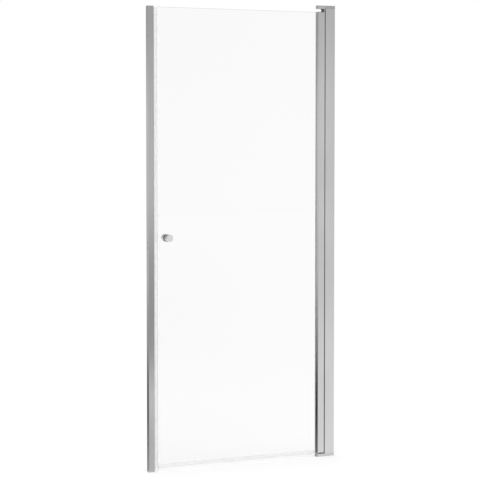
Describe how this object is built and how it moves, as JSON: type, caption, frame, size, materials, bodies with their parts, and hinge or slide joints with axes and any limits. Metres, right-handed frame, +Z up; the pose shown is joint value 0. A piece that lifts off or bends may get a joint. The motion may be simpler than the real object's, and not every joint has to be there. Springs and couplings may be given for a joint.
{
  "type": "pivot shower door",
  "caption": "Framed glass pivot shower door for a niche: wall profiles, rise and fall hinge, magnetic strike seals and a round knob on each face of the glass.",
  "frame": {"origin": "on the tray, half way between the walls, in the middle of the glass thickness", "axes": "+X from the strike wall to the hinge wall, -Y to the room, +Z up"},
  "size_m": [0.88, 0.059, 1.95],
  "materials": {
    "polished_aluminium": "bright polished",
    "chrome": "polished",
    "stainless": "turned",
    "clear_glass": "clear float glass",
    "clear_seal": "translucent soft plastic",
    "white_magnet": "plain",
    "grey_plastic": "moulded",
    "bearing_plastic": "moulded",
    "dark_rubber": "extruded"
  },
  "bodies": {
    "frame": {"strike_wall_channel": "polished_aluminium", "strike_profile": "polished_aluminium", "strike_magnet_seal": "clear_seal", "strike_magnet_strip": "white_magnet", "strike_top_cap": "grey_plastic", "strike_bottom_cap": "grey_plastic", "strike_clamp_screws": "stainless", "strike_screw_covers": "grey_plastic", "hinge_wall_channel": "polished_aluminium", "hinge_post_profile": "polished_aluminium", "hinge_lip_seal": "dark_rubber", "post_clamp_screws": "stainless", "post_screw_covers": "grey_plastic", "top_pivot_bracket": "polished_aluminium", "post_top_cap": "grey_plastic", "top_bracket_screws": "stainless", "bottom_pivot_bracket": "polished_aluminium", "bottom_bracket_screws": "stainless", "bottom_pivot_pin": "stainless", "fixed_lift_cam": "bearing_plastic", "top_pin_guide": "bearing_plastic"},
    "lift": {"top_pivot_pin": "stainless", "top_thrust_washer": "bearing_plastic"},
    "door": {"glass_pane": "clear_glass", "hinge_profile": "polished_aluminium", "door_top_cap": "grey_plastic", "door_bottom_cap": "grey_plastic", "door_cap_screws": "stainless", "glazing_gasket": "clear_seal", "door_top_bush": "bearing_plastic", "door_lift_cam": "bearing_plastic", "door_magnet_seal": "clear_seal", "door_magnet_strip": "white_magnet", "bottom_seal": "clear_seal", "bottom_seal_end": "clear_seal", "outer_knob": "chrome", "inner_knob": "chrome", "knob_grub_screw": "stainless", "knob_stud": "stainless", "knob_sleeve": "bearing_plastic", "knob_washers": "dark_rubber"}
  },
  "joints": [
    {"name": "door_lift", "type": "slide", "parent": "frame", "child": "lift", "axis": [0, 0, 1], "range_m": [0, 0.0064]},
    {"name": "door_swing", "type": "hinge", "parent": "lift", "child": "door", "pos_m": [0.3815, -0.0065, 0], "axis": [0, 0, 1], "range_deg": [0, 95]}
  ],
  "couplings": [
    {"joint": "door_lift", "follows": "door_swing", "m_per_rad": 0.0038197}
  ]
}
